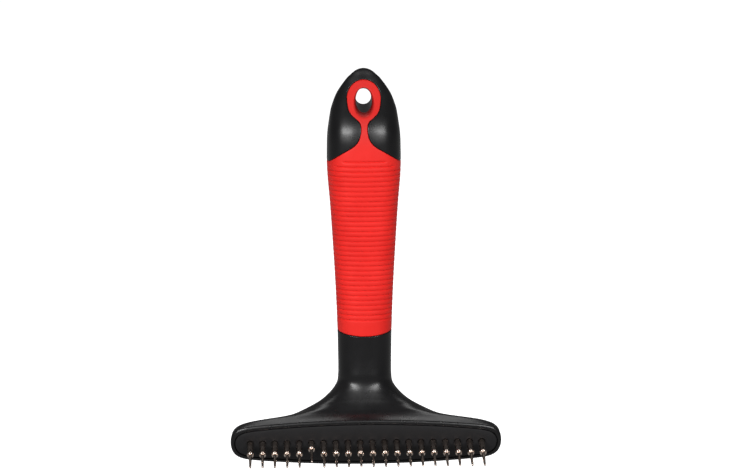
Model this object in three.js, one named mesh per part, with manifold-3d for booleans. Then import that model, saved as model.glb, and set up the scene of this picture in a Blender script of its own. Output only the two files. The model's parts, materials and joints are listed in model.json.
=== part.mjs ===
// Undercoat rake: a T-shaped grooming tool with a two-colour handle and one row of turning steel teeth.
//
// Millimetres. The handle stands along +Z, its width runs along X and the teeth point towards -Y and
// slightly down. The origin is the middle of the hanging hole near the top of the handle.
//
// Pieces: the black moulding (handle, neck and head in one), the soft red grip moulded over it, the
// plate that closes the head, and the stepped steel teeth that turn in the plate's holes.

import * as THREE from 'three';
import { mergeVertices } from 'three/addons/utils/BufferGeometryUtils.js';
import Module from 'manifold-3d';

const wasm = await Module();
wasm.setup();

// ---------------------------------------------------------------- driving dimensions

const GAP = 0.3; // between pieces that touch on the real tool

// Handle: cross-sections down the straight part. front and back are measured from the mid-plane.
const HANDLE_TOP = 11.6;
const TIP_DEPTH = 4; // length of the rounded end
const TIP_SHARES = [0.02, 0.12, 0.3, 0.6, 1]; // of that length, one for each ring
const HANDLE_STATIONS = [
  { at: 11.6, halfWidth: 4.6, front: 1, back: 2.7, power: 2 },
  { at: 9.3, halfWidth: 5.25, front: 1.4, back: 3.4, power: 2.05 },
  { at: 7.6, halfWidth: 6.5, front: 2, back: 4.1, power: 2.1 },
  { at: 4.6, halfWidth: 8.7, front: 3.35, back: 5.1, power: 2.3 },
  { at: 1.6, halfWidth: 10.5, front: 4.95, back: 5.9, power: 2.4 },
  { at: -3.3, halfWidth: 12.3, front: 7.75, back: 7, power: 2.5 },
  { at: -6.3, halfWidth: 12.9, front: 9.4, back: 7.6, power: 2.65 },
  { at: -9.3, halfWidth: 13.35, front: 10.65, back: 8.1, power: 2.8 },
  { at: -12.3, halfWidth: 13.75, front: 11.45, back: 8.5, power: 2.9 },
  { at: -16.5, halfWidth: 14, front: 12.05, back: 9.1, power: 2.9 },
  { at: -27, halfWidth: 14, front: 12.5, back: 9.8, power: 2.9 },
  { at: -40, halfWidth: 13, front: 11.5, back: 9.8, power: 2.8 },
  { at: -54, halfWidth: 12.1, front: 10.5, back: 9.4, power: 2.7 },
  { at: -72, halfWidth: 11.1, front: 9.5, back: 8.8, power: 2.5 },
  { at: -90, halfWidth: 10.4, front: 8.8, back: 8.4, power: 2.35 },
  { at: -99, halfWidth: 10.25, front: 8.85, back: 8.3, power: 2.3 },
  { at: -103, halfWidth: 10.2, front: 9.15, back: 8.3, power: 2.3 },
  { at: -106.6, halfWidth: 10.2, front: 9.65, back: 8.2, power: 2.3 },
];

// Neck and head: below the straight part the cross-sections turn about a level pivot line in front of
// the handle, from level (0 degrees) to the face that carries the teeth.
const NECK_TOP = -106.6;
const FLARE_RADIUS = 13;
const TOOTH_DROP = 10; // degrees that the teeth point below -Y
const FACE_TURN = 90 - TOOTH_DROP;
const PIVOT_Y = -(8.2 + FLARE_RADIUS);
const FACE_DISTANCE = 24.2; // pivot line to the middle of the face
const FACE_HALF_WIDTH = 51.8;
const FACE_ABOVE = 9.1; // from the line of the teeth up the face
const FACE_BELOW = 9.6;
const FACE_BOW = 3.0; // how much lower the face is at its ends than in its middle, per side
const FACE_END_POWER = 24;
const HEAD_STATIONS = [
  { at: 0, halfWidth: 10.2, front: 9.65, back: 8.2, bow: 0, sidePower: 2.3, rootPower: 2.3 },
  { at: 11, halfWidth: 10.8, front: 9.95, back: 8.3, bow: 0, sidePower: 2.3, rootPower: 2.3 },
  { at: 22, halfWidth: 13.8, front: 10.25, back: 8.3, bow: 0, sidePower: 2.3, rootPower: 2.3 },
  { at: 32, halfWidth: 18.1, front: 10.45, back: 8.5, bow: 0.6, sidePower: 2.4, rootPower: 2.2 },
  { at: 41, halfWidth: 24, front: 10.4, back: 9, bow: 2, sidePower: 2.7, rootPower: 2.1 },
  { at: 49, halfWidth: 30.6, front: 10.1, back: 9.5, bow: 3.2, sidePower: 3.3, rootPower: 2 },
  { at: 55, halfWidth: 37, front: 9.8, back: 9.8, bow: 3.75, sidePower: 4.6, rootPower: 2 },
  { at: 60, halfWidth: 43.4, front: 9.5, back: 9.8, bow: 3.75, sidePower: 7.5, rootPower: 2 },
  { at: 66, halfWidth: 50.4, front: 9.3, back: 9.7, bow: 3.4, sidePower: 17, rootPower: 2 },
  { at: 73, halfWidth: 51.6, front: 9.2, back: 9.7, bow: 3.1, sidePower: 24, rootPower: 2 },
  { at: 80, halfWidth: 51.8, front: 9.1, back: 9.6, bow: 3, sidePower: 24, rootPower: 2 },
];
const RIM_ROUND = 0.8; // rounded outer edge of the face
const RIM_RINGS = [
  { before: 2, inset: 0 },
  { before: 0.6, inset: 0.3 * RIM_ROUND },
  { before: 0, inset: RIM_ROUND },
]; // before is in degrees of turn ahead of the face

// Hanging hole: oval at the front, narrowing to round at the back, with flared mouths. The front
// slopes, so the flare is mostly below the hole.
const HOLE_RINGS = [
  { y: -10.5, halfWidth: 4.9, halfHeight: 6.6 },
  { y: -8.3, halfWidth: 4.05, halfHeight: 5.5 },
  { y: -6.8, halfWidth: 3.45, halfHeight: 4.75 },
  { y: -5.6, halfWidth: 3.15, halfHeight: 4.4 },
  { y: 4.6, halfWidth: 3.05, halfHeight: 3.05 },
  { y: 5.6, halfWidth: 3.25, halfHeight: 3.25 },
  { y: 6.6, halfWidth: 3.9, halfHeight: 3.9 },
  { y: 10, halfWidth: 5.6, halfHeight: 5.6 },
];
const HOLE_CLEARANCE = 0.15; // the grip stops this far outside the bore

// Soft grip: a loop round the hanging hole, a narrow web, shoulders and a ribbed sleeve.
const GRIP_THICKNESS = 2;
const LOOP_HALF_WIDTH = 6.7;
const LOOP_HALF_HEIGHT = 6.95;
const LOOP_CENTRE = 0.6;
const GRIP_EDGE = [
  [6.15, -3],
  [5.1, -4.95],
  [3.35, -6.5],
  [1.95, -7.7],
  [1.38, -9.35],
  [1.5, -11.85],
  [2.35, -14.5],
  [4.1, -16.5],
  [7.85, -18.85],
  [10.9, -20.85],
  [14.2, -23.5],
  [19, -28.1],
];
const GRIP_END_MIDDLE = -91;
const GRIP_END_SIDE = -87;
const RIB_PITCH = 1.94;
const RIB_DEPTH = 0.38;
const FIRST_GROOVE = -22.5;
const GROOVE_COUNT = 33;

// Tooth plate: closes the head, flush with its rim.
const RIM_WIDTH = 1.5;
const PLATE_THICKNESS = 2;
const PLATE_HOLE_RADIUS = 1.5;
const POCKET_DEPTH = 4.1; // face to the floor of the space behind the plate
const POCKET_HALF_WIDTH = 46.8;
const POCKET_HALF_HEIGHT = 3.4;
const DEEP_POCKET_DEPTH = 8.2; // its floor in the middle, where a tooth can sit deeper
const DEEP_POCKET_HALF_WIDTH = 36;

// Teeth: a flat head kept behind the plate, a shank, a rounded shoulder and a thin blunt point.
const TOOTH_COUNT = 20;
const TOOTH_PITCH = 4.65;
const TOOTH_LENGTH = 21; // face to point
const TOOTH_HEAD_RADIUS = 2;
const TOOTH_HEAD_THICKNESS = 1.2;
const SHANK_RADIUS = 1.2;
const SHOULDER_RADIUS = 1.3;
const SHOULDER_AT = 10.3; // face to the front of the shoulder
const SHOULDER_START = 1.6; // behind its front: where it leaves the shank, is full and rounds off
const SHOULDER_FULL = 1.1;
const SHOULDER_ROUND = 0.5;
const POINT_RADIUS = 0.68;
const POINT_END_RADIUS = 0.42;
const PUSHED_IN_TOOTH = 6; // counted from -X; this one sits deeper in the head than the others
const PUSHED_IN_BY = 4.2;

// Facets
const RING_POINTS = 26;
const OUTER_STEP = 5;
const CORE_STEP = 12;
const HEAD_STEPS = 18;
const ROUND_SIDES = 24;
const TOOTH_SIDES = 10;
const EDGE_SEGMENTS = 7; // for each point of the grip's edge
const CUT_DEPTH = 40; // of the cutters that go right through the handle

// ---------------------------------------------------------------- materials

const blackPlastic = new THREE.MeshStandardMaterial({ color: 0x1d1d20, roughness: 0.25, metalness: 0 });
const redRubber = new THREE.MeshStandardMaterial({ color: 0xe8302c, roughness: 0.55, metalness: 0 });
const platePlastic = new THREE.MeshStandardMaterial({ color: 0x222226, roughness: 0.35, metalness: 0 });
const steel = new THREE.MeshStandardMaterial({ color: 0xc9c6c2, roughness: 0.2, metalness: 1 });

// ---------------------------------------------------------------- solids

function toSolid(geometry) {
  const bare = new THREE.BufferGeometry();
  bare.setAttribute('position', geometry.getAttribute('position'));
  if (geometry.index) bare.setIndex(geometry.index);
  const merged = mergeVertices(bare, 1e-5);
  return new wasm.Manifold(new wasm.Mesh({
    numProp: 3,
    vertProperties: new Float32Array(merged.getAttribute('position').array),
    triVerts: new Uint32Array(merged.index.array),
  }));
}

function toMesh(name, solid, material) {
  const { vertProperties, triVerts } = solid.getMesh();
  const geometry = new THREE.BufferGeometry();
  geometry.setAttribute('position', new THREE.BufferAttribute(vertProperties, 3));
  geometry.setIndex(new THREE.BufferAttribute(triVerts, 1));
  geometry.computeVertexNormals();
  const mesh = new THREE.Mesh(geometry, material);
  mesh.name = name;
  return mesh;
}

// A closed skin over rings that all have the same number of points, with flat ends.
// Seen from the last ring's side, each ring runs anticlockwise.
function skin(rings) {
  const count = rings[0].length;
  const positions = rings.flat();
  const index = [];
  for (let row = 0; row < rings.length - 1; row += 1) {
    for (let i = 0; i < count; i += 1) {
      const a = row * count + i;
      const b = row * count + ((i + 1) % count);
      index.push(a, b, a + count, b, b + count, a + count);
    }
  }
  for (const [row, flip] of [[0, true], [rings.length - 1, false]]) {
    const centre = positions.length;
    positions.push(middle(rings[row]));
    for (let i = 0; i < count; i += 1) {
      const a = row * count + i;
      const b = row * count + ((i + 1) % count);
      index.push(centre, flip ? b : a, flip ? a : b);
    }
  }
  const geometry = new THREE.BufferGeometry().setFromPoints(positions);
  geometry.setIndex(index);
  return geometry;
}

function middle(points) {
  const sum = points.reduce((total, point) => total.add(point), new THREE.Vector3());
  return sum.divideScalar(points.length);
}

// ---------------------------------------------------------------- cross-sections

// Smooth values between stations, for every numeric key they share.
function between(stations, at) {
  const rising = stations[0].at < stations[1].at;
  let i = 0;
  while (i < stations.length - 2 && (rising ? at > stations[i + 1].at : at < stations[i + 1].at)) i += 1;
  const from = stations[i];
  const to = stations[i + 1];
  const span = to.at - from.at;
  const t = (at - from.at) / span;
  const values = {};
  for (const key of Object.keys(from)) {
    const slope = (left, right) => (right[key] - left[key]) / (right.at - left.at);
    const startSlope = i > 0 ? slope(stations[i - 1], to) : slope(from, to);
    const endSlope = i < stations.length - 2 ? slope(from, stations[i + 2]) : slope(from, to);
    values[key] = (2 * t ** 3 - 3 * t ** 2 + 1) * from[key]
      + (t ** 3 - 2 * t ** 2 + t) * span * startSlope
      + (3 * t ** 2 - 2 * t ** 3) * to[key]
      + (t ** 3 - t ** 2) * span * endSlope;
  }
  return values;
}

// Points [across, forward-to-back] of a rounded cross-section, drawn in by inset on every side.
function outline(section, inset) {
  const { halfWidth, front, back, bow, sidePower, rootPower } = section;
  const points = [];
  for (let i = 0; i < RING_POINTS; i += 1) {
    const angle = (2 * Math.PI * i) / RING_POINTS;
    const across = Math.cos(angle);
    const depth = (Math.sin(angle) < 0 ? front : back) - bow * across ** 2;
    const fullness = Math.max(0, 1 - Math.abs(across) ** sidePower) ** (1 / rootPower);
    points.push([(halfWidth - inset) * across, Math.sign(Math.sin(angle)) * (depth - inset) * fullness]);
  }
  return points;
}

function handleRing(z, inset) {
  const { halfWidth, front, back, power } = between(HANDLE_STATIONS, z);
  const intoTip = Math.min(1, (HANDLE_TOP - inset - z) / TIP_DEPTH);
  const roundEnd = Math.sqrt(1 - (1 - intoTip) ** 2);
  const section = {
    halfWidth: (halfWidth - inset) * roundEnd,
    front: (front - inset) * roundEnd,
    back: (back - inset) * roundEnd,
    bow: 0,
    sidePower: power,
    rootPower: power,
  };
  return outline(section, 0).map(([x, y]) => new THREE.Vector3(x, y, z));
}

function headRing(turn, inset) {
  const angle = THREE.MathUtils.degToRad(turn);
  const distance = THREE.MathUtils.lerp(-PIVOT_Y, FACE_DISTANCE, turn / FACE_TURN);
  return outline(between(HEAD_STATIONS, turn), inset).map(([x, out]) => new THREE.Vector3(
    x,
    PIVOT_Y + (distance + out) * Math.cos(angle),
    NECK_TOP - (distance + out) * Math.sin(angle),
  ));
}

// Heights of the handle's rings: close together in the rounded end, even below it.
function handleHeights(inset, bottom, step) {
  const heights = TIP_SHARES.map((share) => HANDLE_TOP - inset - share * TIP_DEPTH);
  const start = heights[heights.length - 1];
  const steps = Math.ceil((start - bottom) / step);
  for (let i = 1; i <= steps; i += 1) heights.push(start + ((bottom - start) * i) / steps);
  return heights;
}

// ---------------------------------------------------------------- cutters

// The grip's edge on the +X side, moved outwards by grow.
function grownEdge(grow) {
  const points = GRIP_EDGE.map(([x, z]) => new THREE.Vector2(x, z));
  return points.map((point, i) => {
    const before = points[Math.max(0, i - 1)];
    const after = points[Math.min(points.length - 1, i + 1)];
    const along = after.clone().sub(before).normalize();
    return new THREE.Vector2(point.x - along.y * grow, point.y + along.x * grow);
  });
}

// The part of space that the soft grip fills, seen from the front, grown outwards by grow.
function gripSpace(grow) {
  const right = grownEdge(grow);
  const left = right.map((point) => new THREE.Vector2(-point.x, point.y)).reverse();
  const side = right[right.length - 1].x;
  const loop = LOOP_HALF_WIDTH + grow;
  const shape = new THREE.Shape();
  shape.moveTo(-loop, LOOP_CENTRE);
  shape.absellipse(0, LOOP_CENTRE, loop, LOOP_HALF_HEIGHT + grow, Math.PI, 0, true, 0);
  shape.splineThru(right);
  shape.lineTo(side, GRIP_END_SIDE - grow);
  shape.quadraticCurveTo(0, 2 * GRIP_END_MIDDLE - GRIP_END_SIDE - grow, -side, GRIP_END_SIDE - grow);
  shape.lineTo(left[0].x, left[0].y);
  shape.splineThru([...left.slice(1), new THREE.Vector2(-loop, LOOP_CENTRE)]);
  const geometry = new THREE.ExtrudeGeometry(shape, {
    depth: CUT_DEPTH,
    bevelEnabled: false,
    curveSegments: EDGE_SEGMENTS,
  });
  geometry.rotateX(Math.PI / 2);
  geometry.translate(0, CUT_DEPTH / 2, 0);
  return toSolid(geometry);
}

function hangingHole(grow) {
  return toSolid(skin(HOLE_RINGS.map(({ y, halfWidth, halfHeight }) => {
    const ring = [];
    for (let i = 0; i < ROUND_SIDES; i += 1) {
      const angle = (2 * Math.PI * i) / ROUND_SIDES;
      const x = (halfWidth + grow) * Math.sin(angle);
      const z = (halfHeight + grow) * Math.cos(angle);
      ring.push(new THREE.Vector3(x, y, z));
    }
    return ring;
  })));
}

// A slab with bowed long sides in the face's own frame: X across, Y up the face, Z out of it.
function faceSlab(halfWidth, above, below, bow, low, high) {
  const section = {
    halfWidth,
    front: below,
    back: above,
    bow,
    sidePower: FACE_END_POWER,
    rootPower: 2,
  };
  const ring = (z) => outline(section, 0).map(([x, y]) => new THREE.Vector3(x, y, z));
  return toSolid(skin([ring(low), ring(high)]));
}

function toothPlace(number) {
  return (number - (TOOTH_COUNT + 1) / 2) * TOOTH_PITCH;
}

// ---------------------------------------------------------------- frame of the face

const face = new THREE.Group();
const faceAngle = THREE.MathUtils.degToRad(FACE_TURN);
face.position.set(
  0,
  PIVOT_Y + FACE_DISTANCE * Math.cos(faceAngle),
  NECK_TOP - FACE_DISTANCE * Math.sin(faceAngle),
);
face.rotation.x = THREE.MathUtils.degToRad(90 + TOOTH_DROP);
face.updateMatrix();

function inHandleFrame(solid) {
  return solid.transform(face.matrix.toArray());
}

// ---------------------------------------------------------------- pieces

function outerBody() {
  const rings = handleHeights(0, NECK_TOP, OUTER_STEP).map((z) => handleRing(z, 0));
  const lastPlainTurn = FACE_TURN - 2 * RIM_RINGS[0].before;
  for (let i = 1; i <= HEAD_STEPS; i += 1) rings.push(headRing((lastPlainTurn * i) / HEAD_STEPS, 0));
  for (const { before, inset } of RIM_RINGS) rings.push(headRing(FACE_TURN - before, inset));
  return toSolid(skin(rings.reverse()));
}

function handleCore(inset) {
  const rings = handleHeights(inset, NECK_TOP, CORE_STEP).map((z) => handleRing(z, inset));
  return toSolid(skin(rings.reverse()));
}

function pocketSlab(halfWidth, depth) {
  return faceSlab(halfWidth, POCKET_HALF_HEIGHT, POCKET_HALF_HEIGHT, 0, -depth, 1);
}

function handleBody() {
  const pocket = pocketSlab(POCKET_HALF_WIDTH, POCKET_DEPTH);
  const deepPocket = pocketSlab(DEEP_POCKET_HALF_WIDTH, DEEP_POCKET_DEPTH);
  const recess = faceSlab(
    FACE_HALF_WIDTH - RIM_WIDTH,
    FACE_ABOVE - RIM_WIDTH,
    FACE_BELOW - RIM_WIDTH,
    FACE_BOW,
    -PLATE_THICKNESS - GAP,
    1,
  );
  const gripRecess = gripSpace(0).subtract(handleCore(GRIP_THICKNESS));
  return outerBody()
    .subtract(gripRecess)
    .subtract(hangingHole(0))
    .subtract(inHandleFrame(recess.add(pocket).add(deepPocket)));
}

// The sleeve's outer skin, with a groove between each pair of ribs.
function ribbedSleeve() {
  const rings = [];
  const lastGroove = FIRST_GROOVE - (GROOVE_COUNT - 1) * RIB_PITCH;
  for (const z of handleHeights(0, FIRST_GROOVE + RIB_PITCH / 2, OUTER_STEP)) rings.push(handleRing(z, 0));
  for (let i = 0; i < GROOVE_COUNT; i += 1) {
    const z = FIRST_GROOVE - i * RIB_PITCH;
    rings.push(handleRing(z, RIB_DEPTH));
    rings.push(handleRing(z - RIB_PITCH / 2, 0));
  }
  rings.push(handleRing((lastGroove + NECK_TOP) / 2, 0));
  rings.push(handleRing(NECK_TOP, 0));
  return toSolid(skin(rings.reverse()));
}

function softGrip() {
  return ribbedSleeve()
    .intersect(gripSpace(-GAP))
    .subtract(handleCore(GRIP_THICKNESS - GAP))
    .subtract(hangingHole(HOLE_CLEARANCE));
}

function toothPlate() {
  let plate = faceSlab(
    FACE_HALF_WIDTH - RIM_WIDTH - GAP,
    FACE_ABOVE - RIM_WIDTH - GAP,
    FACE_BELOW - RIM_WIDTH - GAP,
    FACE_BOW,
    -PLATE_THICKNESS,
    0,
  );
  for (let number = 1; number <= TOOTH_COUNT; number += 1) {
    const radius = PLATE_HOLE_RADIUS;
    const drill = new THREE.CylinderGeometry(radius, radius, 4 * PLATE_THICKNESS, TOOTH_SIDES);
    drill.rotateX(Math.PI / 2).translate(toothPlace(number), 0, 0);
    plate = plate.subtract(toSolid(drill));
  }
  return plate;
}

// A turned tooth along +Z, with z = 0 where it passes the face.
function toothGeometry() {
  const headFront = -PLATE_THICKNESS - GAP;
  const profile = [
    [0, headFront - TOOTH_HEAD_THICKNESS],
    [TOOTH_HEAD_RADIUS, headFront - TOOTH_HEAD_THICKNESS],
    [TOOTH_HEAD_RADIUS, headFront],
    [SHANK_RADIUS, headFront],
    [SHANK_RADIUS, SHOULDER_AT - SHOULDER_START],
    [SHOULDER_RADIUS, SHOULDER_AT - SHOULDER_FULL],
    [SHOULDER_RADIUS, SHOULDER_AT - SHOULDER_ROUND],
    [POINT_RADIUS, SHOULDER_AT],
    [POINT_END_RADIUS, TOOTH_LENGTH - POINT_END_RADIUS],
    [0, TOOTH_LENGTH],
  ];
  const points = profile.map(([radius, along]) => new THREE.Vector2(radius, along));
  return new THREE.LatheGeometry(points, TOOTH_SIDES).rotateX(Math.PI / 2);
}

// ---------------------------------------------------------------- assembly

const rake = new THREE.Group();
rake.add(toMesh('handle_body', handleBody(), blackPlastic));
rake.add(toMesh('soft_grip', softGrip(), redRubber));
rake.add(face);
face.add(toMesh('tooth_plate', toothPlate(), platePlastic));

for (let number = 1; number <= TOOTH_COUNT; number += 1) {
  const tooth = new THREE.Mesh(toothGeometry(), steel);
  tooth.name = `tooth_${String(number).padStart(2, '0')}`;
  tooth.position.set(toothPlace(number), 0, number === PUSHED_IN_TOOTH ? -PUSHED_IN_BY : 0);
  face.add(tooth);
}

export default rake;
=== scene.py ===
"""Undercoat rake: smooth visual pieces, materials, floor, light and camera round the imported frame.

Shapes are worked out in millimetres and turned into metres when a mesh is made. The handle stands
along +Z, its width runs along X and the teeth point towards -Y and slightly down. The origin is the
middle of the hanging hole.
"""
import json
import math
from functools import lru_cache

import bmesh
import bpy
import numpy as np
from mathutils import Matrix, Vector
from mathutils.geometry import delaunay_2d_cdt


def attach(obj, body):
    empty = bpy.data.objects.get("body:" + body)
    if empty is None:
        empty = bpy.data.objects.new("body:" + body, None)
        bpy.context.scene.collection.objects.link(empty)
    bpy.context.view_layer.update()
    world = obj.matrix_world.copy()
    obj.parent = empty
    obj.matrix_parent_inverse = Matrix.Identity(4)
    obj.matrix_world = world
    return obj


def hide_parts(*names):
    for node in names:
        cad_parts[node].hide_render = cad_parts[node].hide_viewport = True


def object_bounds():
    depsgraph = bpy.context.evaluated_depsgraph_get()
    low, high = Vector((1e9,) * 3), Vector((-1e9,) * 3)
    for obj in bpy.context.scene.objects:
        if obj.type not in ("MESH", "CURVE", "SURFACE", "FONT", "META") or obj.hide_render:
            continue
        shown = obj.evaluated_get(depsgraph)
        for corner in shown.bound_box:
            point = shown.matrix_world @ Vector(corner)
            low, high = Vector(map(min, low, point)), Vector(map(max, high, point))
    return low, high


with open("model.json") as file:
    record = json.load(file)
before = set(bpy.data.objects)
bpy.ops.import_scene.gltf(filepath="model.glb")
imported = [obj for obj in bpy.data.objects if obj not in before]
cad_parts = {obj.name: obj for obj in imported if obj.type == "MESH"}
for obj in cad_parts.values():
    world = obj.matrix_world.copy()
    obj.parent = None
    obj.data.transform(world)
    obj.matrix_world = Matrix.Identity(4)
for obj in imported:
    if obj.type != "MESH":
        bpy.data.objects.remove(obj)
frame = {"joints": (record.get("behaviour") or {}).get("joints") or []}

CAD_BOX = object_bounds()
MM = 0.001

# ---------------------------------------------------------------- handle, in millimetres

HANDLE_TOP = 11.6
TIP_DEPTH = 4.0  # length of the rounded end
TIP_SHARES = (1.0, 0.9, 0.8, 0.7, 0.6, 0.5, 0.4, 0.3, 0.2, 0.12, 0.05)  # of its turn, one for each ring
HANDLE_STATIONS = [  # height, half width, depth in front and behind, fullness of the section
    (11.6, 4.6, 1.0, 2.7, 2.0),
    (9.3, 5.25, 1.4, 3.4, 2.05),
    (7.6, 6.5, 2.0, 4.1, 2.1),
    (4.6, 8.7, 3.35, 5.1, 2.3),
    (1.6, 10.5, 4.95, 5.9, 2.4),
    (-3.3, 12.3, 7.75, 7.0, 2.5),
    (-6.3, 12.9, 9.4, 7.6, 2.65),
    (-9.3, 13.35, 10.65, 8.1, 2.8),
    (-12.3, 13.75, 11.45, 8.5, 2.9),
    (-16.5, 14.0, 12.05, 9.1, 2.9),
    (-27.0, 14.0, 12.5, 9.8, 2.9),
    (-40.0, 13.0, 11.5, 9.8, 2.8),
    (-54.0, 12.1, 10.5, 9.4, 2.7),
    (-72.0, 11.1, 9.5, 8.8, 2.5),
    (-90.0, 10.4, 8.8, 8.4, 2.35),
    (-99.0, 10.25, 8.85, 8.3, 2.3),
    (-103.0, 10.2, 9.15, 8.3, 2.3),
    (-106.6, 10.2, 9.65, 8.2, 2.3),
]

# ---------------------------------------------------------------- neck and head

NECK_TOP = -106.6
NECK_DEPTH = 8.2
FLARE_RADIUS = 13.0
PIVOT_Y = -(NECK_DEPTH + FLARE_RADIUS)
FACE_DISTANCE = 24.2  # from the pivot line to the line of the teeth
FACE_TURN = 80.0
FACE_HALF_WIDTH = 51.8
FACE_ABOVE = 9.1  # from the line of the teeth up the face
HEAD_STATIONS = [  # turn, half width, front, back, bow, power across, root power
    (0, 10.2, 9.65, 8.2, 0.0, 2.3, 2.3),
    (11, 10.8, 9.95, 8.3, 0.0, 2.3, 2.3),
    (22, 13.8, 10.25, 8.3, 0.0, 2.3, 2.3),
    (32, 18.1, 10.45, 8.5, 0.6, 2.4, 2.2),
    (41, 24.0, 10.4, 9.0, 2.0, 2.7, 2.1),
    (49, 30.6, 10.1, 9.5, 3.2, 3.3, 2.0),
    (55, 37.0, 9.8, 9.8, 3.75, 4.6, 2.0),
    (60, 43.4, 9.5, 9.8, 3.75, 7.5, 2.0),
    (66, 50.4, 9.3, 9.7, 3.4, 17.0, 2.0),
    (73, 51.6, 9.2, 9.7, 3.1, 24.0, 2.0),
    (80, 51.8, 9.1, 9.6, 3.0, 24.0, 2.0),
]
RIM_ROUND = 1.2  # rounded outer edge of the face
RIM_WIDTH = 1.5
SEAM = 0.3  # between the plate and the rim
PLATE_THICKNESS = 2.0
PLATE_ROUND = 0.3
PLATE_HOLE_RADIUS = 1.32
POCKET_DEPTH = 4.1  # face to the floor of the space behind the plate
POCKET_HALF_WIDTH = 46.8
POCKET_HALF_HEIGHT = 3.4
DEEP_POCKET_DEPTH = 8.2  # in the middle, where a tooth can sit deeper
DEEP_POCKET_HALF_WIDTH = 36.0

# ---------------------------------------------------------------- soft grip

LOOP_HALF_WIDTH = 6.7
LOOP_HALF_HEIGHT = 6.95
LOOP_CENTRE = 0.6
GRIP_EDGE = [  # right half of its edge seen from the front, below the loop
    (6.15, -3.0),
    (5.1, -4.95),
    (3.35, -6.5),
    (1.95, -7.7),
    (1.38, -9.35),
    (1.5, -11.85),
    (2.35, -14.5),
    (4.1, -16.5),
    (7.85, -18.85),
    (10.9, -20.85),
    (14.2, -23.5),
    (19.0, -28.1),
]
WEB_HEIGHTS = (-19.0, -8.0)  # its foot at the shoulders and its top at the loop; the painted shade on the sleeve grows between them
GRIP_DEPTH = 2.0  # of the recess that it fills
GRIP_INSET = 1.7  # of its own inner side
BORE_SCALE = 1.02  # the black wall of the hole, to the red one
PART_LINE = 0.12  # dark line between the red and the black
GRIP_END = -91.0
GRIP_END_RISE = 4.0  # how much higher the lower end is at END_SPAN from the middle
END_SPAN = 19.0
RIB_PITCH = 1.94
RIB_DEPTH = 0.38
FIRST_GROOVE = -22.5
GROOVE_COUNT = 33
SHORT_GROOVES = {0: 8.6, 1: 11.8}  # half lengths of the first two grooves, which fade out
GROOVE_FADE = 1.2  # length of that fade

# ---------------------------------------------------------------- teeth

TOOTH_LENGTH = 21.0  # face to point
TOOTH_HEAD_RADIUS = 2.0
TOOTH_HEAD_THICKNESS = 1.2
SHANK_RADIUS = 1.2
SHANK_END = 8.7  # where it starts to widen to the shoulder
SHOULDER_RADIUS = 1.3
SHOULDER_START = 9.15
SHOULDER_FULL = 9.45
SHOULDER_ROUND = (0.62, 0.65)  # across and along
SHOULDER_ROUND_START = 9.65
POINT_RADIUS = 0.68
POINT_START = 10.5
POINT_END_RADIUS = 0.42
PUSHED_IN_TOOTH = 6  # sits deeper than the others, as in the photo
PUSHED_IN_BY = 4.2

# ---------------------------------------------------------------- how finely things are made

COLUMNS = 46  # per quarter of a handle or head section
COLUMN_STEP = 0.42  # mm on the flattened handle between two columns
ROW_STEP = 0.6
GRIP_ROW_STEP = 0.5
LINE_CLEARANCE = 0.16  # from a drawn line to the nearest grid point
SIDE_CLEARANCE = 0.03  # the same on the side lines, where the two patches meet
INNER_EVERY = 12  # rows of the sleeve's outside to one of its inside
CORE_ROW_STEP = 6.0
NECK_ROW_STEP = 1.2
BORE_STEPS = 14
HEAD_STEPS = 96
RIM_STEPS = 8
ROUND_SIDES = 32  # of a tooth and of its hole in the plate
HOLE_SHARE = 0.99  # of a plate hole's radius; a triangle whose middle is nearer lies in the hole
SECTION_SAMPLES = 400  # along a quarter of a head section, before it is spaced evenly
EVEN_TURN = 45  # of the head, from which on its columns are spaced evenly
SQUARE_POWER = 4  # from which on a section's side is so square that more samples go there
SQUARE_SHARE = 0.6
BEND_WEIGHT = 5.0  # mm of extra length for each radian that a section turns
ARC_POINTS = 60  # of the edge round a quarter of the loop
CURVE_POINTS = 24  # of the edge between two knots
EDGE_EVERY = 4  # points of the edge to one of a drawn line
OVAL_POINTS = 64  # of the hanging hole's outline
SAME_POINT = 1e-6  # distance at which two points of a flattened patch are one
WELD_DISTANCE = 0.004  # the same for a finished mesh
SLIVER = 0.001  # length of an edge that is too short to keep
PATCH_TOP = 9.3
PATCH_BOTTOM = FIRST_GROOVE - 1.5 * RIB_PITCH
CORE_BOTTOM = -85.0
LEVEL_TOP = -97.0  # from here down the rings of the neck are level
BELOW_GRIP = 0.32  # from the grip's lower end, where the rings start to level out
ABOVE_END = 1.0  # from the grip's lower end, where the rings of its sleeve follow the end
FRONT, BACK = -1, 1

# Half width and half height of the hanging hole, drawn on the outer surface. Its walls lean inwards,
# so that the bore itself is a little narrower.
HOLE = {FRONT: (3.62, 4.4), BACK: (3.5, 3.1)}
FLARE = {  # scale of the hole's outline, and how far in front or behind the middle the flare is there
    FRONT: [(1.0, 3.5), (1.02, 5.6), (1.08, 6.8), (1.25, 8.3), (1.5, 10.5)],
    BACK: [(1.0, 3.5), (1.02, 4.6), (1.07, 5.6), (1.28, 6.6), (1.8, 10.0)],
}


# ================================================================ shape helpers

def lerp(a, b, t):
    return a + (b - a) * t


def smooth_step(low, high, value):
    t = min(1.0, max(0.0, (value - low) / (high - low)))
    return t * t * (3 - 2 * t)


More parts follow.
